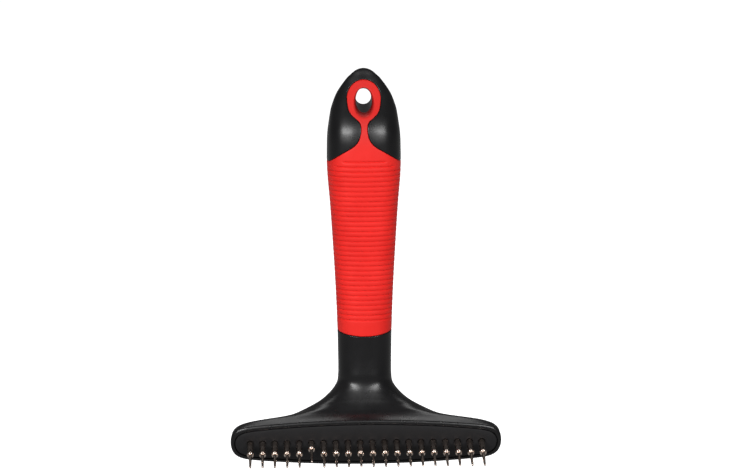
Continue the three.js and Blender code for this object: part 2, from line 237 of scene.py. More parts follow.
def between(stations, at):
    """Smooth values of the columns after the first, at a place given in the first column."""
    rising = stations[0][0] < stations[1][0]
    i = 0
    while i < len(stations) - 2 and (at > stations[i + 1][0] if rising else at < stations[i + 1][0]):
        i += 1
    a, b = stations[i], stations[i + 1]
    before = stations[i - 1] if i > 0 else a
    after = stations[i + 2] if i < len(stations) - 2 else b
    span = b[0] - a[0]
    t = (at - a[0]) / span
    values = []
    for k in range(1, len(a)):
        start = (b[k] - before[k]) / (b[0] - before[0]) * span
        end = (after[k] - a[k]) / (after[0] - a[0]) * span
        values.append((2 * t**3 - 3 * t**2 + 1) * a[k] + (t**3 - 2 * t**2 + t) * start
                      + (3 * t**2 - 2 * t**3) * b[k] + (t**3 - t**2) * end)
    return values


@lru_cache(maxsize=None)
def handle_section(z):
    half_width, front, back, power = between(HANDLE_STATIONS, z)
    into_tip = min(1.0, (HANDLE_TOP - z) / TIP_DEPTH)
    return half_width, front, back, power, math.sqrt(max(0.0, 1 - (1 - into_tip) ** 2))


def on_handle(side, angle, z, height):
    """Point of the handle. angle runs from 0 on the middle line to a quarter turn at the side."""
    half_width, front, back, power, tip = handle_section(round(z, 5))
    sine, cosine = abs(math.sin(angle)), max(0.0, math.cos(angle))
    reach = (sine**power + cosine**power) ** (1 / power)
    depth = front if side == FRONT else back
    across = math.copysign((half_width + height) * sine / reach, angle)
    return Vector((across * tip, side * (depth + height) * cosine / reach * tip, z))


def angle_at(x, z):
    """The angle whose point on the handle's surface lies at x, at most a quarter turn."""
    half_width, _, _, power, tip = handle_section(round(z, 5))
    share = min(1.0, abs(x) / (half_width * tip))
    if share >= 1:
        return math.copysign(math.pi / 2, x)
    return math.copysign(math.atan(share / (1 - share**power) ** (1 / power)), x)


def even_shares(half_width, depth, bow, side_power, root_power):
    """Shares of the half width, from middle to side, at even steps along a head section."""
    angle = np.linspace(0, math.pi / 2, SECTION_SAMPLES)
    share = np.sin(angle) ** (1 if side_power < SQUARE_POWER else SQUARE_SHARE)
    out = (depth - bow * share**2) * np.maximum(0, 1 - share**side_power) ** (1 / root_power)
    step = np.hypot(np.diff(half_width * share), np.diff(out))
    heading = np.unwrap(np.arctan2(np.diff(out), np.diff(half_width * share)))
    turning = np.abs(np.diff(heading, prepend=heading[0]))
    along = np.concatenate([[0], np.cumsum(step + BEND_WEIGHT * turning)])
    return np.interp(np.linspace(0, along[-1], COLUMNS + 1), along, share)


def ray_shares(power):
    """The same shares at even steps of the angle that on_handle() takes."""
    angles = np.linspace(0, math.pi / 2, COLUMNS + 1)
    sine, cosine = np.sin(angles), np.maximum(0, np.cos(angles))
    return sine / (sine**power + cosine**power) ** (1 / power)


def head_outline(turn, inset=0.0):
    """Ring of (x, out) pairs of the neck and head at a turn, in the order of around()."""
    half_width, front, back, bow, side_power, root_power = between(HEAD_STATIONS, turn)
    even = smooth_step(0, EVEN_TURN, turn)
    quarters = {}
    for side, depth in ((FRONT, front), (BACK, back)):
        even_ones = even_shares(half_width, depth, bow, side_power, root_power)
        shares = lerp(ray_shares(side_power), even_ones, even)
        full = np.maximum(0, 1 - shares**side_power) ** (1 / root_power)
        quarters[side] = ((half_width - inset) * shares, side * (depth - bow * shares**2 - inset) * full)
    return [(column_sign * quarters[side][0][i], quarters[side][1][i]) for side, column_sign, i in around()]


@lru_cache(maxsize=None)
def around():
    """(side, sign of x, column) once round a section, from the middle of the front towards +X."""
    order = [(FRONT, 1, i) for i in range(COLUMNS)]
    order += [(BACK, 1, i) for i in range(COLUMNS, 0, -1)]
    order += [(BACK, -1, i) for i in range(COLUMNS)]
    order += [(FRONT, -1, i) for i in range(COLUMNS, 0, -1)]
    return order


def head_ring(turn, inset=0.0):
    angle = math.radians(turn)
    distance = lerp(-PIVOT_Y, FACE_DISTANCE, turn / FACE_TURN)
    ring = []
    for x, out in head_outline(turn, inset):
        y = PIVOT_Y + (distance + out) * math.cos(angle)
        ring.append(Vector((x, y, NECK_TOP - (distance + out) * math.sin(angle))))
    return ring


def column_angle(i):
    return math.pi / 2 * i / COLUMNS


def handle_ring(z_of, height_of):
    """Ring of the handle. z_of and height_of give each point's height from its x and angle."""
    ring = []
    for side, sign, i in around():
        angle = sign * column_angle(i)
        z = z_of(on_handle(side, angle, z_of(0.0), 0.0).x)
        ring.append(on_handle(side, angle, z, height_of(angle, z)))
    return ring


class Skin:
    """Points and faces of one closed piece, in millimetres."""

    def __init__(self):
        self.points = []
        self.faces = []

    def add(self, points):
        start = len(self.points)
        self.points.extend(points)
        return list(range(start, len(self.points)))

    def join(self, ring_a, ring_b, closed=True):
        count = len(ring_a)
        for i in range(count if closed else count - 1):
            j = (i + 1) % count
            self.faces.append((ring_a[i], ring_a[j], ring_b[j], ring_b[i]))

    def loft(self, rings, closed=True):
        rows = [self.add(ring) for ring in rings]
        for row_a, row_b in zip(rows, rows[1:]):
            self.join(row_a, row_b, closed)
        return rows

    def cap(self, row):
        middle = sum((self.points[i] for i in row), Vector()) / len(row)
        centre = self.add([middle])[0]
        for i, a in enumerate(row):
            self.faces.append((a, row[(i + 1) % len(row)], centre))

    def make(self, name, material, sharp_angle, place=None):
        """The mesh object, welded, with its faces pointing out, its points moved by place."""
        mesh = bpy.data.meshes.new(name)
        points = [place @ p for p in self.points] if place else self.points
        mesh.from_pydata([tuple(p * MM) for p in points], [], self.faces)
        work = bmesh.new()
        work.from_mesh(mesh)
        bmesh.ops.remove_doubles(work, verts=work.verts, dist=WELD_DISTANCE * MM)
        bmesh.ops.delete(work, geom=[v for v in work.verts if not v.link_faces], context="VERTS")
        bmesh.ops.dissolve_degenerate(work, edges=work.edges, dist=SLIVER * MM)
        bmesh.ops.recalc_face_normals(work, faces=work.faces)
        work.to_mesh(mesh)
        work.free()
        mesh.polygons.foreach_set("use_smooth", [True] * len(mesh.polygons))
        mesh.set_sharp_from_angle(angle=math.radians(sharp_angle))
        mesh.materials.append(material)
        piece = bpy.data.objects.new(name, mesh)
        bpy.context.scene.collection.objects.link(piece)
        return piece


# ================================================================ edge between red and black

def right_edge():
    """Right half of the edge seen from the front, from the top of the loop down past the side."""
    arc = [(LOOP_HALF_WIDTH * math.sin(a), LOOP_CENTRE + LOOP_HALF_HEIGHT * math.cos(a))
           for a in np.linspace(0, math.pi / 2, ARC_POINTS)]
    knots = [arc[-8], arc[-1], *GRIP_EDGE]
    points = arc[:-1]
    for i in range(1, len(knots) - 1):
        p0, p1, p2 = (Vector(knots[k]) for k in (i - 1, i, i + 1))
        p3 = Vector(knots[min(i + 2, len(knots) - 1)])
        start = (p2 - p0).normalized() * (p2 - p1).length
        end = (p3 - p1).normalized() * (p2 - p1).length
        for t in np.linspace(0, 1, CURVE_POINTS, endpoint=False):
            point = ((2 * t**3 - 3 * t**2 + 1) * p1 + (t**3 - 2 * t**2 + t) * start
                     + (3 * t**2 - 2 * t**3) * p2 + (t**3 - t**2) * end)
            points.append(tuple(point))
    points.append(knots[-1])
    return np.array(points)


EDGE = right_edge()
EDGE_NORMAL = np.gradient(EDGE, axis=0)[:, ::-1] * (-1, 1)
EDGE_NORMAL /= np.linalg.norm(EDGE_NORMAL, axis=1, keepdims=True)


def depth_inside(x, z):
    """How far a point seen from the front lies inside the red, negative on the black."""
    point = np.array((abs(x), z))
    start, along = EDGE[:-1], np.diff(EDGE, axis=0)
    t = np.clip(((point - start) * along).sum(1) / (along**2).sum(1), 0, 1)
    distance = np.hypot(*(start + along * t[:, None] - point).T)
    nearest = int(np.argmin(distance))
    towards = point - (start[nearest] + along[nearest] * t[nearest])
    outside = float(towards @ EDGE_NORMAL[nearest]) > 0
    return -distance[nearest] if outside else distance[nearest]


def edge_line(inside_by):
    """The whole edge, drawn inside the red by a distance, as points (angle, z) of the handle."""
    line = EDGE - EDGE_NORMAL * inside_by
    line[0, 0] = 0.0
    half = []
    for (x0, z0), (x1, z1) in zip(line, line[1:]):
        half_width, _, _, _, tip = handle_section(round(z0, 5))
        after, _, _, _, after_tip = handle_section(round(z1, 5))
        half.append((x0, z0))
        gap, next_gap = half_width * tip - x0, after * after_tip - x1
        if next_gap <= 0:
            half.append((None, z0 + (z1 - z0) * gap / (gap - next_gap)))
            break
    kept = half[:-2:EDGE_EVERY] + half[-1:]
    right = [(math.pi / 2 if x is None else angle_at(x, z), z) for x, z in kept]
    return [(-a, z) for a, z in reversed(right[1:])] + right


def oval_line(scale, side):
    """The hole's outline at a scale, as points (angle, z) of the handle."""
    width, height = HOLE[side]
    turns = [2 * math.pi * i / OVAL_POINTS for i in range(OVAL_POINTS)]
    points = [(width * scale * math.sin(a), height * scale * math.cos(a)) for a in turns]
    return [(angle_at(x, z), z) for x, z in points]


def hole_scale(x, z, side):
    width, height = HOLE[side]
    return math.hypot(x / width, z / height)


def stepped(profile, value):
    """Straight steps through (value, height) pairs."""
    if value <= profile[0][0]:
        return profile[0][1]
    for (a, height_a), (b, height_b) in zip(profile, profile[1:]):
        if value <= b:
            return lerp(height_a, height_b, (value - a) / (b - a))
    return profile[-1][1]


# Steps of the surface as (place, height) pairs. RED_EDGE and BLACK_EDGE go by the distance inside
# the red's edge, RED_LIP by the scale of the hole's outline, GROOVE by the distance from its middle.
RED_EDGE = [(PART_LINE, -0.5), (0.15, -0.32), (0.21, -0.18), (0.32, -0.07), (0.46, -0.015), (0.62, 0.0)]
RED_LIP = [(1.0, -1.62), (1.012, -0.6), (1.03, -0.3), (1.06, -0.1), (1.1, -0.02), (1.16, 0.0)]
MOUTH_SHARPNESS = 3 / 0.35  # of the bend from the surface into the flare
RED_MOUTH = [1.0, 1.012, 1.03, 1.06, 1.1, 1.16, 1.22, 1.28, 1.36, 1.46]
BLACK_EDGE = [(-0.3, 0.0), (-0.2, 0.0), (-0.11, -0.02), (-0.04, -0.06), (0.0, -0.14), (0.02, -0.4),
              (0.03, -GRIP_DEPTH)]
GROOVE = [(0.0, -RIB_DEPTH), (0.1, -0.34), (0.19, -0.2), (0.3, -0.07), (0.45, -0.015), (0.96, 0.0)]


def rib_height(z, x):
    number = (FIRST_GROOVE - z) / RIB_PITCH
    nearest = min(GROOVE_COUNT - 1, max(0, round(number)))
    depth = stepped(GROOVE, abs(number - nearest) * RIB_PITCH)
    if nearest in SHORT_GROOVES:
        depth *= 1 - smooth_step(SHORT_GROOVES[nearest] - GROOVE_FADE, SHORT_GROOVES[nearest], abs(x))
    return depth


def red_height(side, angle, z):
    """Height of the red, with its grooves, its edge and the mouth of the hole."""
    x = on_handle(side, angle, z, 0.0).x
    height = rib_height(z, x)
    if z > PATCH_BOTTOM:
        height += stepped(RED_EDGE, depth_inside(x, z))
        if abs(z) < 2 * HOLE[FRONT][1]:
            height = min(height, mouth_height(side, angle, z, x))
    return height


def mouth_height(side, angle, z, x):
    """Height of the rounded lip and of the flare that cuts into the sloping surface."""
    scale = hole_scale(x, z, side)
    flare = stepped(FLARE[side], scale) - abs(on_handle(side, angle, z, 0.0).y)
    rounded = -math.log(1 + math.exp(-flare * MOUTH_SHARPNESS)) / MOUTH_SHARPNESS
    return max(RED_LIP[0][1], min(stepped(RED_LIP, scale), rounded))


def black_height(side, angle, z):
    """Height of the black, which steps down under the red."""
    x = on_handle(side, angle, z, 0.0).x
    return stepped(BLACK_EDGE, depth_inside(x, z))


def rib_rows(first, last):
    """Heights of the rows of the grooves first to last, closer together in each groove."""
    offsets = [distance for distance, _ in GROOVE]
    around_groove = [-d for d in reversed(offsets)] + offsets[1:-1]
    return [FIRST_GROOVE - n * RIB_PITCH - d for n in range(first, last + 1) for d in around_groove]


def inside(outline, x, y):
    """True if the closed outline goes round the point."""
    before = np.roll(outline, 1, axis=0)
    crosses = (outline[:, 1] > y) != (before[:, 1] > y)
    rise = np.where(crosses, before[:, 1] - outline[:, 1], 1.0)
    at = outline[:, 0] + (y - outline[:, 1]) / rise * (before[:, 0] - outline[:, 0])
    return bool(np.count_nonzero(crosses & (x < at)) % 2)


def patch(side, lines, mouths, rows, below_line, height_of):
    """(places, heights, faces) of one side of the handle's upper part.

    The surface is flattened to (angle, z) and triangulated there, so that its edges follow the
    lines exactly. It is open inside the first mouth, and above the first line if below_line is set.
    """
    scale = COLUMN_STEP * COLUMNS / (math.pi / 2)
    flat, edges = [], []
    for line, closed in [(line, False) for line in lines] + [(line, True) for line in mouths]:
        first = len(flat)
        flat.extend((a * scale, z) for a, z in line)
        edges.extend((i, i + 1) for i in range(first, len(flat) - 1))
        if closed:
            edges.append((len(flat) - 1, first))
    drawn = np.array(flat) if flat else np.empty((0, 2))
    for z in rows:
        for i in range(-COLUMNS, COLUMNS + 1):
            u = column_angle(i) * scale
            clear = LINE_CLEARANCE if abs(i) < COLUMNS else SIDE_CLEARANCE
            if not len(drawn) or np.min(np.hypot(drawn[:, 0] - u, drawn[:, 1] - z)) > clear:
                flat.append((u, z))
    result = delaunay_2d_cdt([Vector(p) for p in flat], edges, [], 0, SAME_POINT)
    corners, triangles = result[0], result[2]
    hole = np.array([(a * scale, z) for a, z in mouths[0]])
    wide, low = math.pi * scale, rows[-1] - 1.0
    cut = np.array([(a * scale, z) for a, z in lines[0]] + [(wide, lines[0][-1][1]), (wide, low),
                                                            (-wide, low), (-wide, lines[0][0][1])])
    kept = []
    for triangle in triangles:
        u, z = (sum(corners[i][k] for i in triangle) / 3 for k in (0, 1))
        if not inside(hole, u, z) and (not below_line or inside(cut, u, z)):
            kept.append(tuple(triangle))
    used = sorted({i for triangle in kept for i in triangle})
    number = {old: new for new, old in enumerate(used)}
    places = [(side, corners[i].x / scale, corners[i].y) for i in used]
    heights = [height_of(*place) for place in places]
    return places, heights, [tuple(number[i] for i in triangle) for triangle in kept]


def even_rows(top, bottom, step):
    count = max(1, math.ceil((top - bottom) / step))
    return [lerp(top, bottom, i / count) for i in range(count + 1)]


# ================================================================ materials

class Nodes:
    """A material's node tree with short ways to add noise, ramps and bump."""

    def __init__(self, name):
        self.material = bpy.data.materials.new(name)
        self.material.use_nodes = True
        self.tree = self.material.node_tree
        self.shader = self.tree.nodes["Principled BSDF"]
        self.place = self.tree.nodes.new("ShaderNodeTexCoord").outputs["Object"]

    def set(self, **values):
        for key, value in values.items():
            self.shader.inputs[key.replace("_", " ")].default_value = value

    def noise(self, size_mm, detail=3.0, stretch=None):
        texture = self.tree.nodes.new("ShaderNodeTexNoise")
        texture.inputs["Scale"].default_value = 1 / (size_mm * MM)
        texture.inputs["Detail"].default_value = detail
        place = self.place
        if stretch:
            mapping = self.tree.nodes.new("ShaderNodeMapping")
            mapping.inputs["Scale"].default_value = stretch
            self.tree.links.new(place, mapping.inputs["Vector"])
            place = mapping.outputs["Vector"]
        self.tree.links.new(place, texture.inputs["Vector"])
        return texture.outputs["Fac"]

    def ramp(self, value, low, high, dark, light):
        ramp = self.tree.nodes.new("ShaderNodeValToRGB")
        ramp.color_ramp.elements[0].position = low
        ramp.color_ramp.elements[1].position = high
        ramp.color_ramp.elements[0].color = (*dark, 1)
        ramp.color_ramp.elements[1].color = (*light, 1)
        self.tree.links.new(value, ramp.inputs["Fac"])
        return ramp.outputs["Color"]

    def tint(self, value, dark, light):
        """A colour between dark and light, from a value that stays near one half."""
        return self.ramp(value, 0.35, 0.65, dark, light)

    def spread(self, value, low, high):
        """value, which stays near one half, spread out to low..high."""
        spread = self.tree.nodes.new("ShaderNodeMapRange")
        spread.inputs["From Min"].default_value = 0.3
        spread.inputs["From Max"].default_value = 0.7
        spread.inputs["To Min"].default_value = low
        spread.inputs["To Max"].default_value = high
        self.tree.links.new(value, spread.inputs["Value"])
        return spread.outputs["Result"]

    def multiply(self, colour, grey):
        mix = self.tree.nodes.new("ShaderNodeMix")
        mix.data_type = "RGBA"
        mix.blend_type = "MULTIPLY"
        mix.inputs["Factor"].default_value = 1.0
        self.tree.links.new(colour, mix.inputs["A"])
        self.tree.links.new(grey, mix.inputs["B"])
        return mix.outputs["Result"]

    def painted_hole_shade(self):
        """Painted shade: white on the outside, darker towards the lower half of the hanging hole's wall."""
        mapping = self.tree.nodes.new("ShaderNodeMapping")
        width, height = HOLE[FRONT]
        mapping.inputs["Scale"].default_value = (0.5 / (width * MM), 0.0, 0.5 / (height * MM))
        mapping.inputs["Location"].default_value = (0.0, 0.0, 0.15)
        length = self.tree.nodes.new("ShaderNodeVectorMath")
        length.operation = "LENGTH"
        self.tree.links.new(self.place, mapping.inputs["Vector"])
        self.tree.links.new(mapping.outputs["Vector"], length.inputs[0])
        return self.ramp(length.outputs["Value"], 0.40, 0.58, (0.15, 0.10, 0.10), (1.0, 1.0, 1.0))

    def painted_sleeve_shade(self):
        """Painted shade: white on the sleeve, a little darker from the web up to the loop."""
        foot, top = WEB_HEIGHTS
        parts = self.tree.nodes.new("ShaderNodeSeparateXYZ")
        self.tree.links.new(self.place, parts.inputs["Vector"])
        shade = self.tree.nodes.new("ShaderNodeMapRange")
        shade.inputs["From Min"].default_value = foot * MM
        shade.inputs["From Max"].default_value = top * MM
        shade.inputs["To Min"].default_value = 1.0
        shade.inputs["To Max"].default_value = 0.8
        self.tree.links.new(parts.outputs["Z"], shade.inputs["Value"])
        return shade.outputs["Result"]

    def link(self, value, socket):
        self.tree.links.new(value, self.shader.inputs[socket])

    def bump(self, value, height_mm, strength=1.0, onto=None):
        bump = self.tree.nodes.new("ShaderNodeBump")
        bump.inputs["Distance"].default_value = height_mm * MM
        bump.inputs["Strength"].default_value = strength
        self.tree.links.new(value, bump.inputs["Height"])
        if onto:
            self.tree.links.new(onto, bump.inputs["Normal"])
        return bump.outputs["Normal"]


def black_plastic():
    m = Nodes("black_plastic")
    m.set(Metallic=0.0, IOR=1.46, Specular_IOR_Level=0.42)
    colour = m.tint(m.noise(14.0, 2.0), (0.0046, 0.0045, 0.005), (0.0064, 0.0062, 0.0068))
    m.link(colour, "Base Color")
    m.link(m.spread(m.noise(3.0, 4.0), 0.26, 0.31), "Roughness")
    m.link(m.bump(m.noise(1.6, 2.0), 0.0015, 0.5), "Normal")
    return m.material


def plate_plastic():
    m = Nodes("plate_plastic")
    m.set(Metallic=0.0, IOR=1.46, Specular_IOR_Level=0.36)
    colour = m.tint(m.noise(9.0, 3.0), (0.006, 0.0057, 0.0064), (0.008, 0.0076, 0.0086))
    m.link(colour, "Base Color")
    m.link(m.spread(m.noise(2.0, 4.0), 0.52, 0.6), "Roughness")
    m.link(m.bump(m.noise(0.9, 3.0), 0.006, 0.6), "Normal")
    return m.material


def red_rubber():
    m = Nodes("red_rubber")
    m.set(Metallic=0.0, IOR=1.45, Specular_IOR_Level=0.22, Sheen_Weight=0.02, Sheen_Roughness=0.4)
    colour = m.tint(m.noise(11.0, 2.0), (0.71, 0.018, 0.014), (0.77, 0.023, 0.018))
    # Base colour times painted shade in the hanging hole and painted shade from the web up to the loop.
    m.link(m.multiply(m.multiply(colour, m.painted_hole_shade()), m.painted_sleeve_shade()), "Base Color")
    m.link(m.spread(m.noise(1.2, 4.0), 0.42, 0.52), "Roughness")
    m.link(m.bump(m.noise(0.22, 3.0), 0.006, 0.6), "Normal")
    return m.material


def tooth_steel():
    m = Nodes("tooth_steel")
    m.set(Metallic=1.0)
    # Steel tone that varies at random, tinted brown: a painted reflection of brown cardboard.
    m.link(m.tint(m.noise(3.0, 3.0), (0.50, 0.40, 0.34), (0.72, 0.62, 0.55)), "Base Color")
    m.link(m.spread(m.noise(0.8, 4.0, (6.0, 1.0, 1.0)), 0.09, 0.15), "Roughness")
    m.link(m.bump(m.noise(0.25, 2.0, (6.0, 1.0, 1.0)), 0.002, 0.5), "Normal")
    return m.material


def floor_paint():
    m = Nodes("pale_floor")
    m.set(Specular_IOR_Level=0.0, Emission_Color=(1.0, 1.0, 1.0, 1), Emission_Strength=0.82)
    m.link(m.ramp(m.noise(400.0, 1.0), 0.3, 0.7, (0.93, 0.93, 0.93), (0.95, 0.95, 0.95)), "Base Color")
    m.link(m.spread(m.noise(60.0), 0.8, 0.9), "Roughness")
    return m.material


BLACK = black_plastic()
PLATE = plate_plastic()
RED = red_rubber()
STEEL = tooth_steel()

# ================================================================ camera, light and floor

VIEW_DISTANCE = 1300.0
VIEW_TARGET = Vector((0.35, 0.0, -53.0))
VIEW_ELEVATION = 12.0
VIEW_LEFT = 1.5  # degrees towards -X
VIEW_ROLL = 0.25
SENSOR_WIDTH = 36.0
FOCAL_LENGTH = 167.8192


def direction(left, up):
    """Unit vector from the object towards a place left of its front and above its level."""
    left, up = math.radians(left), math.radians(up)
    return Vector((-math.sin(left) * math.cos(up), -math.cos(left) * math.cos(up), math.sin(up)))


def facing(back, roll=0.0):
    """Matrix whose -Z looks along -back and whose Y is up."""
    right = (-back).cross(Vector((0, 0, 1))).normalized()
    matrix = Matrix((right, right.cross(-back), back)).transposed().to_4x4()
    return matrix @ Matrix.Rotation(math.radians(roll), 4, "Z")


def make_camera():
    data = bpy.data.cameras.new("camera")
    data.sensor_width = SENSOR_WIDTH
    data.lens = FOCAL_LENGTH
    data.clip_start = 0.05
    data.clip_end = 50.0
    camera = bpy.data.objects.new("camera", data)
    bpy.context.scene.collection.objects.link(camera)
    back = direction(VIEW_LEFT, VIEW_ELEVATION)
    place = (VIEW_TARGET + back * VIEW_DISTANCE) * MM
    camera.matrix_world = Matrix.Translation(place) @ facing(back, -VIEW_ROLL)
    bpy.context.scene.camera = camera
    bpy.context.scene.view_settings.view_transform = "Standard"


def softbox(name, left, up, distance, width, height, power):
    data = bpy.data.lights.new(name, "AREA")
    data.shape = "RECTANGLE"
    data.size, data.size_y = width, height
    data.energy = power
    lamp = bpy.data.objects.new(name, data)
    bpy.context.scene.collection.objects.link(lamp)
    back = direction(left, up)
    lamp.matrix_world = Matrix.Translation(VIEW_TARGET * MM + back * distance) @ facing(back)


def make_world():
    """A grey surrounding, lighter below the horizon than above it."""
    world = bpy.data.worlds.new("studio")
    world.use_nodes = True
    tree = world.node_tree
    tree.nodes["Background"].inputs["Color"].default_value = (1.0, 1.0, 1.0, 1)
    parts = tree.nodes.new("ShaderNodeSeparateXYZ")
    tree.links.new(tree.nodes.new("ShaderNodeTexCoord").outputs["Generated"], parts.inputs["Vector"])
    strength = tree.nodes.new("ShaderNodeMapRange")
    strength.inputs["From Min"].default_value = -0.4
    strength.inputs["From Max"].default_value = 0.1
    strength.inputs["To Min"].default_value = 0.34
    strength.inputs["To Max"].default_value = 0.14
    tree.links.new(parts.outputs["Z"], strength.inputs["Value"])
    tree.links.new(strength.outputs["Result"], tree.nodes["Background"].inputs["Strength"])
    bpy.context.scene.world = world


def make_lights():
    softbox("softbox_left", left=28, up=21, distance=1.7, width=0.95, height=0.3, power=21)
    softbox("softbox_right", left=-25, up=21, distance=1.7, width=0.85, height=0.3, power=15)
    softbox("softbox_above_left", left=136, up=66, distance=1.2, width=0.7, height=0.3, power=2.6)
    softbox("softbox_above_right", left=-136, up=66, distance=1.2, width=0.7, height=0.3, power=2.6)


def make_floor():
    """A pale floor that only the camera sees. It neither lights the rake nor shows in its gloss."""
    low, _ = CAD_BOX
    size, drop = 30.0, 0.09
    level = low.z - drop
    mesh = bpy.data.meshes.new("floor")
    corners = [(-size, -size, level), (size, -size, level), (size, size, level), (-size, size, level)]
    mesh.from_pydata(corners, [], [(0, 1, 2, 3)])
    mesh.materials.append(floor_paint())
    floor = bpy.data.objects.new("floor", mesh)
    bpy.context.scene.collection.objects.link(floor)
    floor.visible_diffuse = False
    floor.visible_glossy = False


# ================================================================ pieces

def finish_piece(piece, body, node):
    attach(piece, body)
    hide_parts(node)


def face_matrix():
    """From the face's own frame to the handle's: X across, Y up the face, Z out of it."""
    angle = math.radians(FACE_TURN)
    forward, down = FACE_DISTANCE * math.cos(angle), FACE_DISTANCE * math.sin(angle)
    middle = Vector((0, PIVOT_Y + forward, NECK_TOP - down))
    return Matrix.Translation(middle) @ Matrix.Rotation(math.radians(180 - FACE_TURN), 4, "X")


def face_outline(inset, z):
    """Ring of the face in its own frame. The head's front side is up the face."""
    return [Vector((x, -out, z)) for x, out in head_outline(FACE_TURN, inset)]


def end_height(offset):
    """Height of the grip's lower end, offset downwards, at an x."""
    return lambda x: GRIP_END + GRIP_END_RISE * (x / END_SPAN) ** 2 - offset


def level(z):
    return lambda x: z


def make_body():
    skin = Skin()
    rows = even_rows(PATCH_TOP, PATCH_BOTTOM, ROW_STEP)
    lines = [edge_line(inset) for inset, _ in BLACK_EDGE]
    mouths = {}
    for side in (FRONT, BACK):
        mouth = oval_line(BORE_SCALE, side)
        places, heights, faces = patch(side, lines, [mouth], rows, False, black_height)
        start = skin.add([on_handle(*place, height) for place, height in zip(places, heights)])[0]
        skin.faces.extend(tuple(start + i for i in face) for face in faces)
        mouths[side] = [on_handle(side, a, z, -GRIP_DEPTH) for a, z in mouth]
    pairs = list(zip(mouths[FRONT], mouths[BACK]))
    skin.loft([[a.lerp(b, i / BORE_STEPS) for a, b in pairs] for i in range(BORE_STEPS + 1)])
    skin.cap(skin.loft(tip_rings())[-1])
    rings = core_rings() + neck_rings() + rim_rings() + pocket_rings()
    skin.cap(skin.loft(rings)[-1])
    piece = skin.make("body_moulding", BLACK, sharp_angle=38)
    finish_piece(piece, "handle", "handle_body")


def tip_rings():
    """Rings of the rounded end, from the upper patches to the top."""
    whole_turn = math.acos(1 - (HANDLE_TOP - PATCH_TOP) / TIP_DEPTH)
    heights = [HANDLE_TOP - TIP_DEPTH * (1 - math.cos(whole_turn * share)) for share in TIP_SHARES]
    heights[0] = PATCH_TOP
    return [handle_ring(level(z), lambda a, z: 0.0) for z in heights]


def core_rings():
    """Rings of the floor of the grip's recess and of the step out to the plain neck."""
    core = even_rows(PATCH_BOTTOM, CORE_BOTTOM, CORE_ROW_STEP)
    rings = [handle_ring(level(z), lambda a, z: -GRIP_DEPTH) for z in core]
    for inset, height in BLACK_EDGE[::-1]:
        rings.append(handle_ring(end_height(-inset), lambda a, z, height=height: height))
    for share in (0.1, 0.25, 0.45, 0.7, 1.0):
        rings.append(handle_ring(
            lambda x, share=share: lerp(end_height(BELOW_GRIP)(x), LEVEL_TOP, share), lambda a, z: 0.0))
    return rings


def neck_rings():
    """Rings of the neck and head, down to where the rim starts to be rounded."""
    plain = even_rows(LEVEL_TOP, NECK_TOP, NECK_ROW_STEP)[1:-1]
    turn = FACE_TURN - math.degrees(RIM_ROUND / FACE_DISTANCE)
    rings = [handle_ring(level(z), lambda a, z: 0.0) for z in plain]
    return rings + [head_ring(turn * i / HEAD_STEPS) for i in range(HEAD_STEPS + 1)]


def rim_rings():
    """Rings of the rim's rounded edge, its flat and the recess that the plate lies in."""
    rings = []
    for i in range(1, RIM_STEPS + 1):
        corner = math.pi / 2 * i / RIM_STEPS
        turn = FACE_TURN - math.degrees(RIM_ROUND / FACE_DISTANCE) * (1 - math.sin(corner))
        rings.append(head_ring(turn, RIM_ROUND * (1 - math.cos(corner))))
    placed = face_matrix()
    inner = [(RIM_WIDTH - 0.25, 0.0), (RIM_WIDTH - 0.08, -0.06), (RIM_WIDTH, -0.25),
             (RIM_WIDTH, -PLATE_THICKNESS - SEAM), (RIM_WIDTH + 1.0, -PLATE_THICKNESS - SEAM)]
    return rings + [[placed @ p for p in face_outline(inset, z)] for inset, z in inner]


def pocket_rings():
    """Rings of the space behind the plate, deeper in its middle."""
    placed = face_matrix()
    rings = []
    low = POCKET_HALF_HEIGHT / FACE_ABOVE
    pocket = [(POCKET_HALF_WIDTH, PLATE_THICKNESS + SEAM), (POCKET_HALF_WIDTH, POCKET_DEPTH),
              (DEEP_POCKET_HALF_WIDTH, POCKET_DEPTH), (DEEP_POCKET_HALF_WIDTH, DEEP_POCKET_DEPTH)]
    for half_width, depth in pocket:
        narrow = half_width / FACE_HALF_WIDTH
        rings.append([placed @ Vector((p.x * narrow, p.y * low, -depth)) for p in face_outline(0.0, 0.0)])
    return rings


